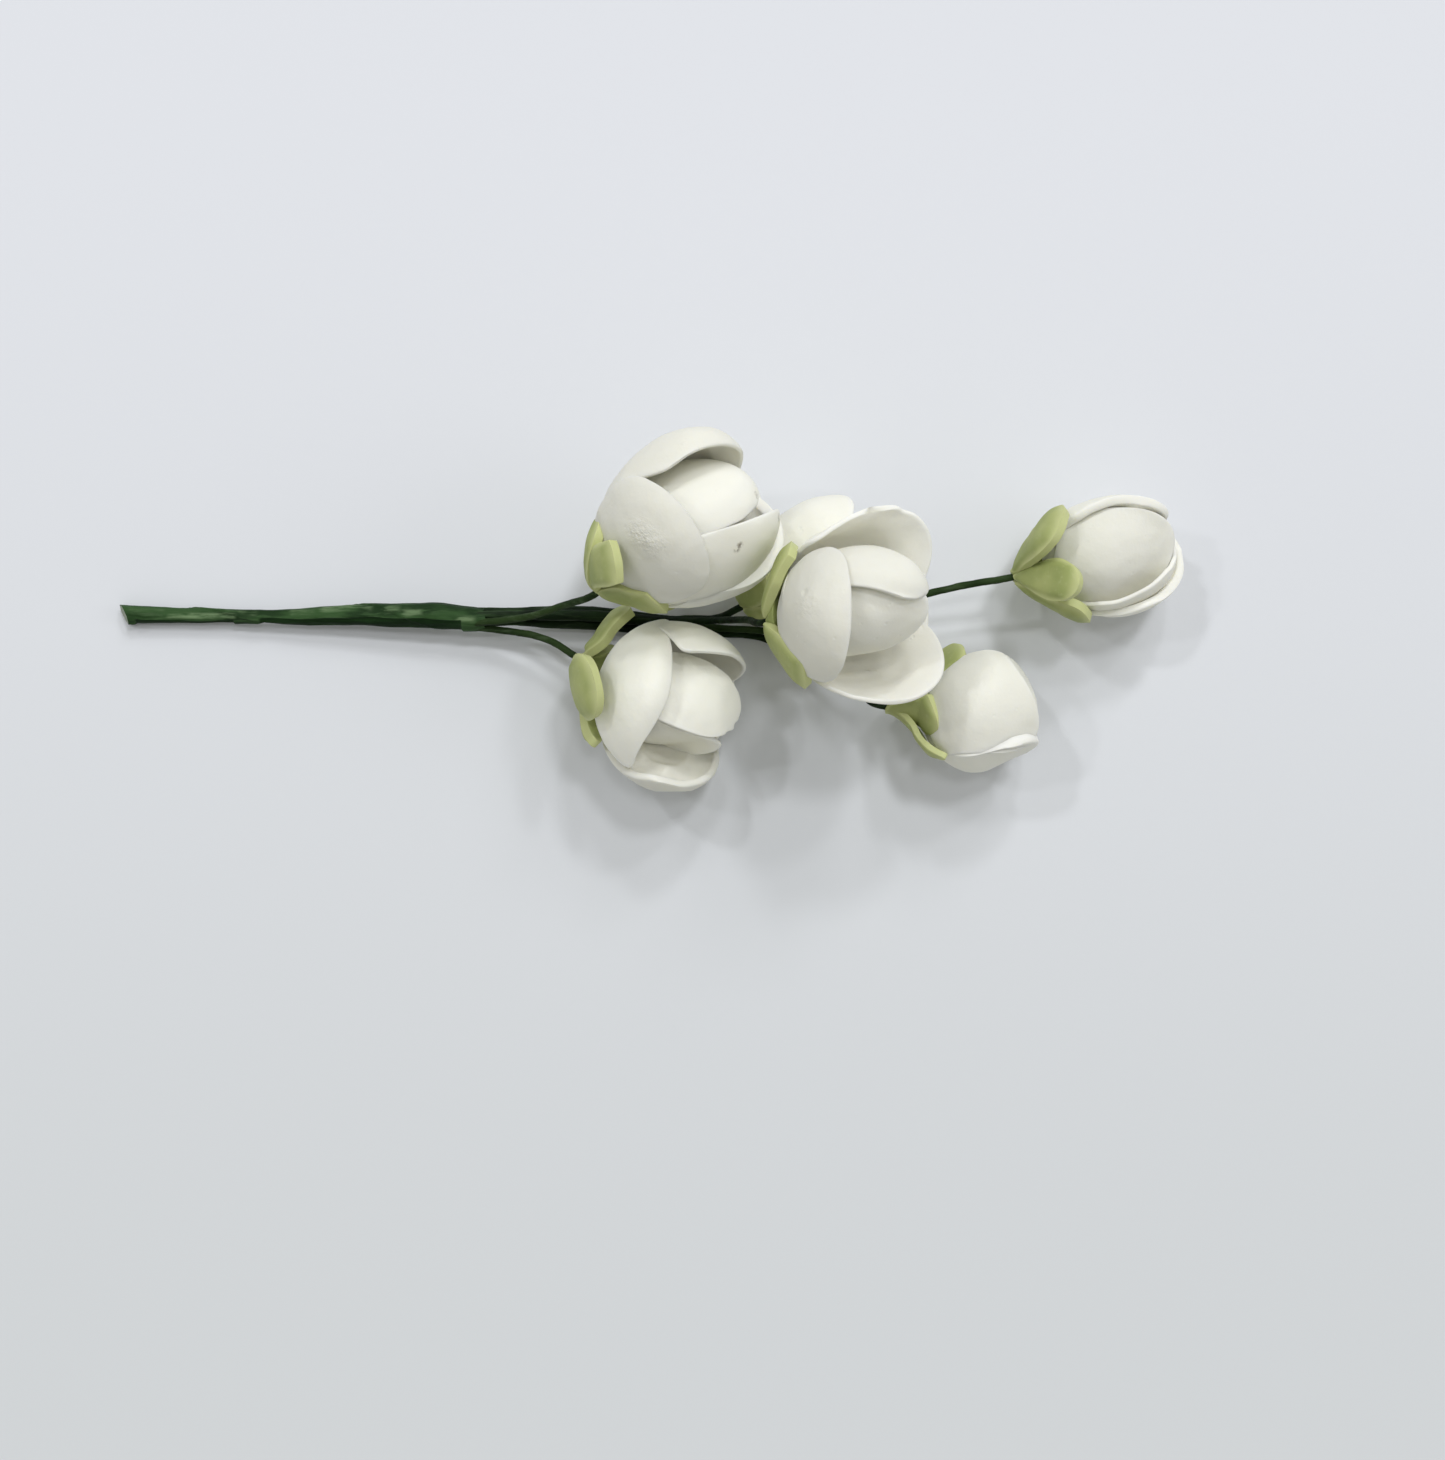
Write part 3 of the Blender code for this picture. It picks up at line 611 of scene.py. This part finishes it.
def sepalPiece(bloom, form, joint, number):
    sheet = gridSheet("sepal", calyxMake["across"], calyxMake["along"], calyxMake["edgeShare"])
    mesh = sheet.data
    group = sheet.vertex_groups.new(name="thick")
    rims = []
    for vert in mesh.vertices:
        x, y = vert.co.x, vert.co.y
        rim = max(abs(x), abs(y))
        rims.append(rim)
        thinned = 1 - (1 - calyxMake["rimThickness"]) * eased(rim, calyxMake["rimStart"], 1.0)
        rooted = calyxMake["rootThickness"] / form["thick"]
        grown = rooted + (1 - rooted) * eased((y + 1) / 2, 0, calyxMake["rootShare"])
        group.add([vert.index], thinned * grown, "REPLACE")
        vert.co = sepalPoint(bloom, form, joint, *roundedSquare(x, y, form["full"]))
    mesh.update()
    setAttribute(sheet, "rim", rims)
    middle = Vector((0, 0, bloom["cupHeight"]))
    facing = sum(face.normal.dot(face.center - middle) for face in mesh.polygons)
    addModifier(sheet, "SOLIDIFY", thickness=form["thick"], offset=1 if facing > 0 else -1,
                use_even_offset=True, vertex_group="thick")
    addModifier(sheet, "BEVEL", width=calyxMake["bevel"], segments=2, limit_method="ANGLE",
                angle_limit=math.radians(calyxMake["bevelAngle"]))
    addModifier(sheet, "SUBSURF", levels=1, render_levels=1)
    applyModifiers(sheet)
    seed = placeInNoise(number, calyxMake["noiseSteps"])
    pushed(mesh, [calyxMake["dentDepth"] * noise.noise(vert.co / calyxMake["dentSize"] + seed)
                  for vert in mesh.vertices])
    return sheet


def hubPiece(joint):
    # A cone under the cup, its narrow end moved over the joint
    deselectAll()
    top = -calyxMake["seatGap"]
    middle = (top + joint.z) / 2
    bpy.ops.mesh.primitive_cone_add(vertices=calyxMake["hubSides"], radius1=calyxMake["jointRadius"],
                                    radius2=calyxMake["hubRadius"], depth=top - joint.z,
                                    location=(0, 0, middle))
    hub = bpy.context.object
    bpy.ops.object.transform_apply()
    for vert in hub.data.vertices:
        if vert.co.z < middle:
            vert.co.x += joint.x
            vert.co.y += joint.y
    addModifier(hub, "BEVEL", width=calyxMake["hubBevel"], segments=3)
    applyModifiers(hub)
    setPlain(hub, "rim")
    return hub


sepalLook = {
    # clouds: scale, detail and roughness
    "tint": (160, 3), "speckles": (900, 3, 0.7), "wave": (380, 2),
    "sage": ((0.31, 0.36, 0.12, 1), (0.42, 0.46, 0.175, 1)),
    # painted highlight: the lighter rim colour stands for sepal edges catching the light
    "rim": (0.60, 0.63, 0.30, 1), "rimShare": 0.8, "rimFrom": 0.7,
    "speckle": (0.52, 0.56, 0.30, 1), "speckleShare": 0.3, "speckleDepth": 0.6,
    "bumpDistance": 0.00008, "bumpStrength": 0.8, "roughness": 0.5, "roughnessSpread": 0.15,
}


def sepalFinish():
    finish = Finish("sepalPaste", Subsurface_Weight=0.08, Subsurface_Scale=0.001, IOR=1.45,
                    Subsurface_Radius=(0.8, 1.0, 0.4), Specular_IOR_Level=0.35)
    where = finish.coords()
    cloud = finish.clouds(where, *sepalLook["tint"])
    speckle = finish.clouds(where, *sepalLook["speckles"])
    rim = finish.step(finish.attribute("rim"), sepalLook["rimFrom"], 1.0)
    sage = finish.blend(finish.step(cloud, 0.3, 0.7), *sepalLook["sage"])
    # painted highlight on the sepals' rims
    edged = finish.blend(rim * sepalLook["rimShare"], sage, sepalLook["rim"])
    speckled = finish.step(speckle, 0.55, 0.75) * sepalLook["speckleShare"]
    spotted = finish.blend(speckled, edged, sepalLook["speckle"])
    height = speckle * sepalLook["speckleDepth"] + finish.clouds(where, *sepalLook["wave"])
    finish.paint(sepalLook, spotted, height, speckle)
    return finish


sepalPaste = sepalFinish()
for name, bloom in blooms.items():
    toLocal = bloomMatrix(bloom).inverted()
    joint = toLocal @ ((Vector(bloom["joint"]) + Vector(spray["offset"])) * mm)
    pieces = [hubPiece(joint)]
    for number, form in enumerate(bloom["sepals"]):
        pieces.append(sepalPiece(bloom, form, joint, number))
    whole = joined("calyx" + name.capitalize(), pieces)
    whole.data.transform(bloomMatrix(bloom))
    finishPiece(whole, ["calyx_" + name], sepalPaste)
    print("calyx of", name)

# The taped stem and the bound wires
stemMake = {
    "points": [(-88.25, -0.3, 1.6, 1.6), (-82.5, -0.5, 1.7, 1.6), (-75.9, -0.7, 1.8, 1.4),
               (-67.9, -0.8, 2.2, 1.2), (-61.8, -0.9, 2.6, 1.3), (-56.2, -0.9, 3.0, 1.6),
               (-49.4, -0.7, 3.4, 1.9), (-42.8, -0.8, 3.8, 2.1), (-35.7, -0.8, 4.2, 2.3),
               (-31.3, -1.1, 4.5, 2.15), (-29.0, -1.3, 4.6, 2.05), (-27.2, -1.35, 4.6, 1.85)],
    # each point holds its place and its radius there, which radiusShare makes a little smaller
    "around": 72, "spacing": 0.3, "radiusShare": 0.98,
    # the tape's turns: their pitch, the height of the edge, how sharply it falls, and its sink
    "pitch": 27.0, "overlap": 0.22, "overlapPower": 5, "overlapSink": 0.05,
    # creases, lumps and wrinkles: depth, length along the stem, number round it, place in the noise
    "waves": [(0.16, 11, 2.2, 0), (0.12, 4, 1.0, 9), (0.05, 1.6, 4.5, 20)],
    # the free end is cut askew, the tape's far end is torn; both as shifts along the stem
    "cutSide": 0.75, "cutUp": 0.65, "cutFade": 5.0,
    "tearDepth": 0.9, "tearFade": 2.2, "tearsRound": 2.4, "tearNoise": 3,
    # where the tape's edge leaves the bundle a step lower, from the low side up: start, end, the
    # place round the stem that it reaches, and its depth; it fades in and out, its edge is soft,
    # and the edge waves by a height in turns over a length
    "steps": [(1.5, 19.9, 0.15, 0.28), (23.5, 57.8, 0.222, 0.32)],
    "stepFadeIn": 1.5, "stepFadeOut": 0.4, "stepSoft": 0.02,
    "stepWaves": [(0.008, 3.1), (0.006, 1.3)],
    # places round the stem are in turns: 0 and 0.5 at its sides, 0.25 on top, 0.75 underneath
    "lowSide": 0.75,
}
wireMake = {
    # a wire enters its hub from a point that is lead away, by routeWeight turned to its own route
    "radius": 0.6, "around": 16, "spacing": 0.5, "clearance": 0.05,
    "lead": 2.5, "seatDepth": 0.4, "routeWeight": 2,
    "windPitch": 3.4, "windDepth": 0.05, "lumpDepth": 0.04, "lumpLength": 2.5,
    # the bound part of the bundle is thicker, with tape filling it; the unbound wires branch off
    # at once, and the pale ones have their own tape, while the others' tape is painted darker with the
    # shade of the blooms over them
    "unbound": ("upper", "lower"), "pale": ("upper", "lower", "far"),
    "boundRadius": 0.95, "boundStart": 5.0, "boundGrowth": 8.0, "boundEnd": 41.0, "boundFade": 14.0,
    "routes": {
        "upper": [(-28.6, -1.98, 5.77), (-23.7, -1.6, 7.3), (-19.0, -1.0, 9.6), (-14.0, 0.4, 13.2)],
        "lower": [(-28.6, -2.65, 4.6), (-24.0, -3.2, 5.0), (-19.2, -4.0, 6.2), (-15.6, -5.3, 7.6)],
        "front": [(-28.6, -0.62, 5.77), (-16.6, -0.7, 5.4), (-9.1, -0.8, 4.9), (2.2, -1.75, 4.4),
                  (8.4, -1.65, 6.0), (12.2, -1.75, 10.5), (15.6, -2.05, 17.5)],
        "far": [(-28.6, -0.62, 3.43), (-16.6, -0.7, 3.0), (-9.1, -0.8, 2.5), (2.2, -1.6, 2.0),
                (10.5, -2.6, 1.9), (17.0, -3.0, 2.6), (25.0, -3.9, 4.0), (33.0, -2.4, 6.5),
                (41.0, 1.4, 9.6), (48.5, 3.4, 11.0), (54.0, 4.4, 11.8)],
        "near": [(-28.6, -1.98, 3.43), (-22.5, -1.7, 3.2), (-16.6, -1.85, 3.0), (-9.1, -2.1, 2.5),
                 (2.2, -3.0, 2.0), (10.5, -3.5, 1.1), (18.0, -4.2, 1.3), (26.0, -8.0, 3.6),
                 (33.5, -12.8, 6.4)],
        "under": [(-28.6, 0.05, 4.6), (-16.6, -0.05, 4.2), (-9.1, -0.15, 3.7), (2.2, -1.45, 3.2),
                  (6.0, -1.3, 3.4), (10.2, -1.2, 4.6)],
    },
}


def smoothRoute(points, spacing):
    # Even points along a smooth curve through the given ones
    ends = [points[0] * 2 - points[1], *points, points[-1] * 2 - points[-2]]
    route = []
    for before, start, end, after in zip(ends, ends[1:], ends[2:], ends[3:]):
        steps = max(2, round((end - start).length / spacing))
        for step in range(steps):
            share = step / steps
            route.append(0.5 * (2 * start + (end - before) * share
                                + (2 * before - 5 * start + 4 * end - after) * share ** 2
                                + (3 * start - before - 3 * end + after) * share ** 3))
    route.append(points[-1])
    return route


def rolledTube(name, route, around, radiusAt, shiftAt=None, markAt=None):
    # A flat grid rolled into a tube along the route; radiusAt gives each point's distance out,
    # shiftAt its shift along the tube and markAt its value of the attribute "fold"
    deselectAll()
    count = len(route) - 1
    bpy.ops.mesh.primitive_grid_add(x_subdivisions=count, y_subdivisions=around, size=2.0)
    tube = bpy.context.object
    lengths = [0.0]
    for start, end in zip(route, route[1:]):
        lengths.append(lengths[-1] + (Vector(end[:3]) - Vector(start[:3])).length)
    along, turn, marks = [], [], []
    for vert in tube.data.vertices:
        index = round((vert.co.x + 1) / 2 * count)
        share = (vert.co.y + 1) / 2
        angle = share * 2 * math.pi
        here = Vector(route[index][:3])
        before = Vector(route[max(0, index - 1)][:3])
        after = Vector(route[min(count, index + 1)][:3])
        ahead = (after - before).normalized()
        side = ahead.cross(Vector((0, 0, 1))).normalized()
        up = side.cross(ahead)
        out = side * math.cos(angle) + up * math.sin(angle)
        place = here + out * radiusAt(index, lengths[index], share)
        if shiftAt:
            place += ahead * shiftAt(lengths[index], lengths[-1], share)
        marks.append(markAt(lengths[index], share) if markAt else 0.0)
        along.append(lengths[index])
        turn.append(share)
        vert.co = (place + Vector(spray["offset"])) * mm
    setAttribute(tube, "along", along)
    setAttribute(tube, "turn", turn)
    setAttribute(tube, "fold", marks)
    pick(tube)
    bpy.ops.object.mode_set(mode="EDIT")
    bpy.ops.mesh.select_all(action="SELECT")
    bpy.ops.mesh.remove_doubles(threshold=0.00001)
    bpy.ops.mesh.select_all(action="DESELECT")
    bpy.ops.mesh.select_non_manifold()
    bpy.ops.mesh.fill_holes(sides=0)
    bpy.ops.mesh.select_all(action="SELECT")
    bpy.ops.mesh.normals_make_consistent(inside=False)
    bpy.ops.object.mode_set(mode="OBJECT")
    tube.name = name
    tube.data.name = name
    return tube


def roundNoise(length, share, stretch, scale, seed):
    # Noise that runs round a tube without a seam
    angle = share * 2 * math.pi
    place = (length / stretch + seed, math.cos(angle) * scale, math.sin(angle) * scale)
    return noise.noise(Vector(place))


def foldAt(length, share):
    # How deep under the tape's edge a point lies, as a depth in millimetres
    deepest = 0.0
    if share > stemMake["lowSide"]:
        share -= 1
    for start, end, place, depth in stemMake["steps"]:
        place += sum(height * math.sin(length / wave) for height, wave in stemMake["stepWaves"])
        begun = eased(length, start, start + stemMake["stepFadeIn"])
        ended = eased(length, end - stemMake["stepFadeOut"], end)
        above = eased(share, place - stemMake["stepSoft"], place)
        deepest = max(deepest, depth * begun * (1 - ended) * (1 - above))
    return deepest


def stemPiece():
    points = [Vector(point) for point in stemMake["points"]]
    route = smoothRoute(points, stemMake["spacing"])

    def radiusAt(index, length, share):
        wrap = (length / stemMake["pitch"] + share) % 1.0
        wrapped = stemMake["overlap"] * (1 - wrap) ** stemMake["overlapPower"] - stemMake["overlapSink"]
        waved = sum(depth * roundNoise(length, share, stretch, scale, seed)
                    for depth, stretch, scale, seed in stemMake["waves"])
        radius = route[index][3] + wrapped + waved
        return radius * stemMake["radiusShare"] - foldAt(length, share)

    def shiftAt(length, whole, share):
        angle = share * 2 * math.pi
        askew = stemMake["cutSide"] * (1 + math.cos(angle)) + stemMake["cutUp"] * (1 + math.sin(angle))
        ragged = roundNoise(0, share, 1, stemMake["tearsRound"], stemMake["tearNoise"])
        torn = stemMake["tearDepth"] * ragged
        return (askew * (1 - eased(length, 0, stemMake["cutFade"]))
                + torn * eased(length, whole - stemMake["tearFade"], whole))

    return rolledTube("tapedStem", route, stemMake["around"], radiusAt, shiftAt, foldAt)


def wirePiece(name, bloom):
    # Its last stretch enters the hub on a way between the bloom's axis and the wire's own route
    axis = bloomMatrix(bloom).to_3x3().normalized() @ Vector((0, 0, 1))
    joint = Vector(bloom["joint"])
    reach = joint - Vector(bloom["base"])
    points = [Vector(point) for point in wireMake["routes"][name]]
    back = (points[-1] - joint).normalized()
    away = (reach.normalized() - axis + back * wireMake["routeWeight"]).normalized()
    points += [joint + away * wireMake["lead"], joint - away * wireMake["seatDepth"]]
    route = smoothRoute(points, wireMake["spacing"])
    bound = name not in wireMake["unbound"]

    def radiusAt(index, length, share):
        wound = (length / wireMake["windPitch"] + share) % 1.0
        rough = wireMake["lumpDepth"] * roundNoise(length, share, wireMake["lumpLength"], 1.0, len(name))
        radius = wireMake["radius"]
        if bound:
            start, end = wireMake["boundStart"], wireMake["boundEnd"]
            inBundle = (eased(length, start, start + wireMake["boundGrowth"])
                        * (1 - eased(length, end - wireMake["boundFade"], end)))
            radius += (wireMake["boundRadius"] - radius) * inBundle
        aboveFloor = route[index].z - wireMake["clearance"]
        return min(radius, aboveFloor) - wireMake["windDepth"] * wound + rough

    return rolledTube("wire" + name.capitalize(), route, wireMake["around"], radiusAt)


def band(finish, value, low, high, soft):
    # 1 between low and high, smooth at both ends
    return finish.step(value, low, low + soft) * (1 - finish.step(value, high - soft, high))


# Streaks, blotches and crackle run along x, as the tape mostly does: stretch, scale, detail and
# roughness
tapeLook = {
    "streaks": (0.14, 1000, 4, 0.65), "blotches": (0.3, 330, 3, 0.5), "crackle": (0.55, 1500, 3, 0.7),
    "streakShare": 0.7, "streakDepth": 1.2, "crackleDepth": 0.5, "specular": 0.12,
    # painted shade under the tape's edge, with the tape a little darker there too
    "stepShade": ((0.003, 0.014, 0.002, 1), (0.01, 0.034, 0.007, 1)), "stepShadeShare": 0.97,
    # how far a painted sheen mark's ends wander with the streaks, and how soft its ends and sides are
    "markWander": 2.5, "markEnds": 1.0, "markSides": 0.06,
    "bumpDistance": 0.00016, "bumpStrength": 1.0, "roughness": 0.5, "roughnessSpread": 0.2,
}


def stretchedClouds(finish, stretch, scale, detail, rough):
    return finish.clouds(finish.coords(scale=(stretch, 1, 1)), scale, detail, rough)


def tapeFinish(name, colours, marks=()):
    # marks: start, end, and places round the stem in turns, of pale marks of painted sheen and painted
    # light, and their strength
    dark, mid, light, sheenGreen = colours
    finish = Finish(name, Specular_IOR_Level=tapeLook["specular"], IOR=1.45)
    along, turn = finish.attribute("along"), finish.attribute("turn")
    fold = finish.attribute("fold")
    streaks = stretchedClouds(finish, *tapeLook["streaks"])
    blotches = stretchedClouds(finish, *tapeLook["blotches"])
    crackle = stretchedClouds(finish, *tapeLook["crackle"])
    colour = finish.blend(finish.step(blotches, 0.38, 0.62), dark, mid)
    colour = finish.blend(finish.step(streaks, 0.5, 0.72) * tapeLook["streakShare"], colour, light)
    for start, end, low, high, strength in marks:
        wandering = along + tapeLook["markWander"] * streaks
        mark = (band(finish, wandering, start, end, tapeLook["markEnds"])
                * band(finish, turn, low, high, tapeLook["markSides"]))
        colour = finish.blend(mark * finish.step(streaks, 0.36, 0.62) * strength, colour, sheenGreen)
    # painted shade in the step under the tape's edge, where it lies more than a little deep
    stepShade = finish.blend(finish.step(streaks, 0.35, 0.75), *tapeLook["stepShade"])
    colour = finish.blend(finish.step(fold, 0.05, 0.2) * tapeLook["stepShadeShare"], colour, stepShade)
    height = streaks * tapeLook["streakDepth"] + crackle * tapeLook["crackleDepth"]
    finish.paint(tapeLook, colour, height, blotches)
    return finish


# Painted sheen: pale marks on the stem's upper side, where the tape catches the light
stemSheens = [
    (9.8, 21.9, 0.17, 0.35, 0.85), (2.0, 10.0, 0.22, 0.4, 0.3), (21.6, 25.4, 0.24, 0.42, 0.45),
    (30.0, 35.0, 0.25, 0.45, 0.3), (35.2, 44.6, 0.29, 0.5, 0.6), (46.0, 49.4, 0.26, 0.42, 0.4),
    (49.0, 53.0, 0.2, 0.37, 0.6), (57.8, 61.5, 0.17, 0.3, 0.85),
]
# Painted light: the bundle's wires are greener where they leave the stem, out of the blooms' shade
bundleLitEnds = [(-3.0, 9.5, -0.1, 1.1, 0.4)]
# Dark, middle and light green, and the pale green of the painted sheen and painted light marks
stemGreens = [(0.011, 0.032, 0.008, 1), (0.034, 0.08, 0.024, 1),
              (0.075, 0.145, 0.055, 1), (0.17, 0.25, 0.125, 1)]
# Painted shade: the bundle's greens are near black for the shade of the blooms over it
shadedBundleGreens = [(0.003, 0.009, 0.002, 1), (0.008, 0.021, 0.005, 1),
                (0.03, 0.052, 0.022, 1), (0.06, 0.11, 0.045, 1)]
branchGreens = [(0.012, 0.027, 0.006, 1), (0.024, 0.046, 0.012, 1),
                (0.055, 0.085, 0.038, 1), (0.1, 0.13, 0.08, 1)]
stemTape = tapeFinish("stemTape", stemGreens, stemSheens)
shadedWireTape = tapeFinish("shadedWireTape", shadedBundleGreens, bundleLitEnds)
branchTape = tapeFinish("branchTape", branchGreens)
stem = stemPiece()
finishPiece(stem, ["taped_stem"], stemTape)
cutLook = {
    "roughness": 0.7, "grain": (1500, 3),
    "dark": (0.2, 0.24, 0.17, 1), "pale": (0.42, 0.45, 0.36, 1),
}
cutFace = Finish("cutFace", Roughness=cutLook["roughness"])
cutGrain = cutFace.clouds(cutFace.coords(), *cutLook["grain"])
cutFace.use(Base_Color=cutFace.blend(cutGrain, cutLook["dark"], cutLook["pale"]))
stem.data.materials.append(cutFace.material)
# the tube's two end faces have many corners, and the cut end is the one at the lower x
ends = [face for face in stem.data.polygons if len(face.vertices) > 4]
cap = min(ends, key=lambda face: face.center.x)
cap.material_index = 1
cap.use_smooth = False
for name, bloom in blooms.items():
    # the wires under the blooms take the tape with painted shade
    tape = branchTape if name in wireMake["pale"] else shadedWireTape
    finishPiece(wirePiece(name, bloom), ["wire_" + name], tape)
print("stem and wires")

# Floor, lights and camera
# The floor is grey where y is below greyEnd and pale where it is above paleEnd: painted light fall-off,
# darker towards the bottom
surface = {
    "size": 3.0, "grey": (0.64, 0.66, 0.662, 1), "pale": (0.755, 0.77, 0.797, 1),
    "greyEnd": -0.14, "paleEnd": 0.1, "roughness": 0.6, "specular": 0.2,
}
deselectAll()
bpy.ops.mesh.primitive_plane_add(size=surface["size"])
floor = bpy.context.object
floor.name = "floor"
floorPaint = Finish("floorPaint", Roughness=surface["roughness"], Specular_IOR_Level=surface["specular"])
upwards = floorPaint.node("ShaderNodeSeparateXYZ", values={0: floorPaint.coords()}, output="Y")
# painted light fall-off across the floor
fade = floorPaint.step(upwards, surface["greyEnd"], surface["paleEnd"])
floorPaint.use(Base_Color=floorPaint.blend(fade, surface["grey"], surface["pale"]))
floor.data.materials.append(floorPaint.material)

light = {
    "lampColour": (0.975, 0.985, 1.035), "skyColour": (1.0, 1.0, 0.96, 1), "skyStrength": 0.36,
}
lamps = {
    # slope towards the lamp per unit of height, its angle in degrees, its share of the floor's light
    "leftSpot": ((-0.58, 0.58), 4, 0.10),
    "leftLow": ((-0.75, 0.27), 3.5, 0.05),
    "topSpot": ((0.25, 0.45), 7, 0.16),
    "overhead": ((0.1, 0.15), 8, 0.09),
    "highSpot": ((0.15, 1.0), 6, 0.09),
    "rightSpot": ((0.5, 0.8), 5, 0.07),
    "topSoft": ((0.5, 1.2), 14, 0.06),
    "rightSoft": ((1.5, 0.0), 24, 0.03),
}
for name, (slope, angle, share) in lamps.items():
    towards = Vector((slope[0], slope[1], 1.0))
    deselectAll()
    bpy.ops.object.light_add(type="SUN", location=towards)
    lamp = bpy.context.object
    lamp.name = name
    lamp.rotation_euler = towards.to_track_quat("Z", "Y").to_euler()
    lamp.data.angle = math.radians(angle)
    lamp.data.energy = share * math.pi * towards.length
    lamp.data.color = light["lampColour"]

world = bpy.context.scene.world or bpy.data.worlds.new("studio")
bpy.context.scene.world = world
world.use_nodes = True
sky = world.node_tree.nodes["Background"]
sky.inputs["Color"].default_value = light["skyColour"]
sky.inputs["Strength"].default_value = light["skyStrength"]
bpy.context.scene.view_settings.view_transform = "Standard"

# The camera looks straight down: its axis, height, sensor and nearest depth in millimetres, and
# its focal length and picture's height in pixels
view = {
    "axis": (12.53, -18.64), "height": 380.0, "sensor": 36, "nearest": 10,
    "focal": 2300.0, "imageHeight": 1460.0,
}
deselectAll()
bpy.ops.object.camera_add(location=(view["axis"][0] * mm, view["axis"][1] * mm, view["height"] * mm),
                          rotation=(0, 0, 0))
camera = bpy.context.object
camera.data.sensor_width = view["sensor"]
camera.data.lens = view["focal"] / view["imageHeight"] * view["sensor"]
camera.data.clip_start = view["nearest"] * mm
bpy.context.scene.camera = camera
print("floor, lights and camera")
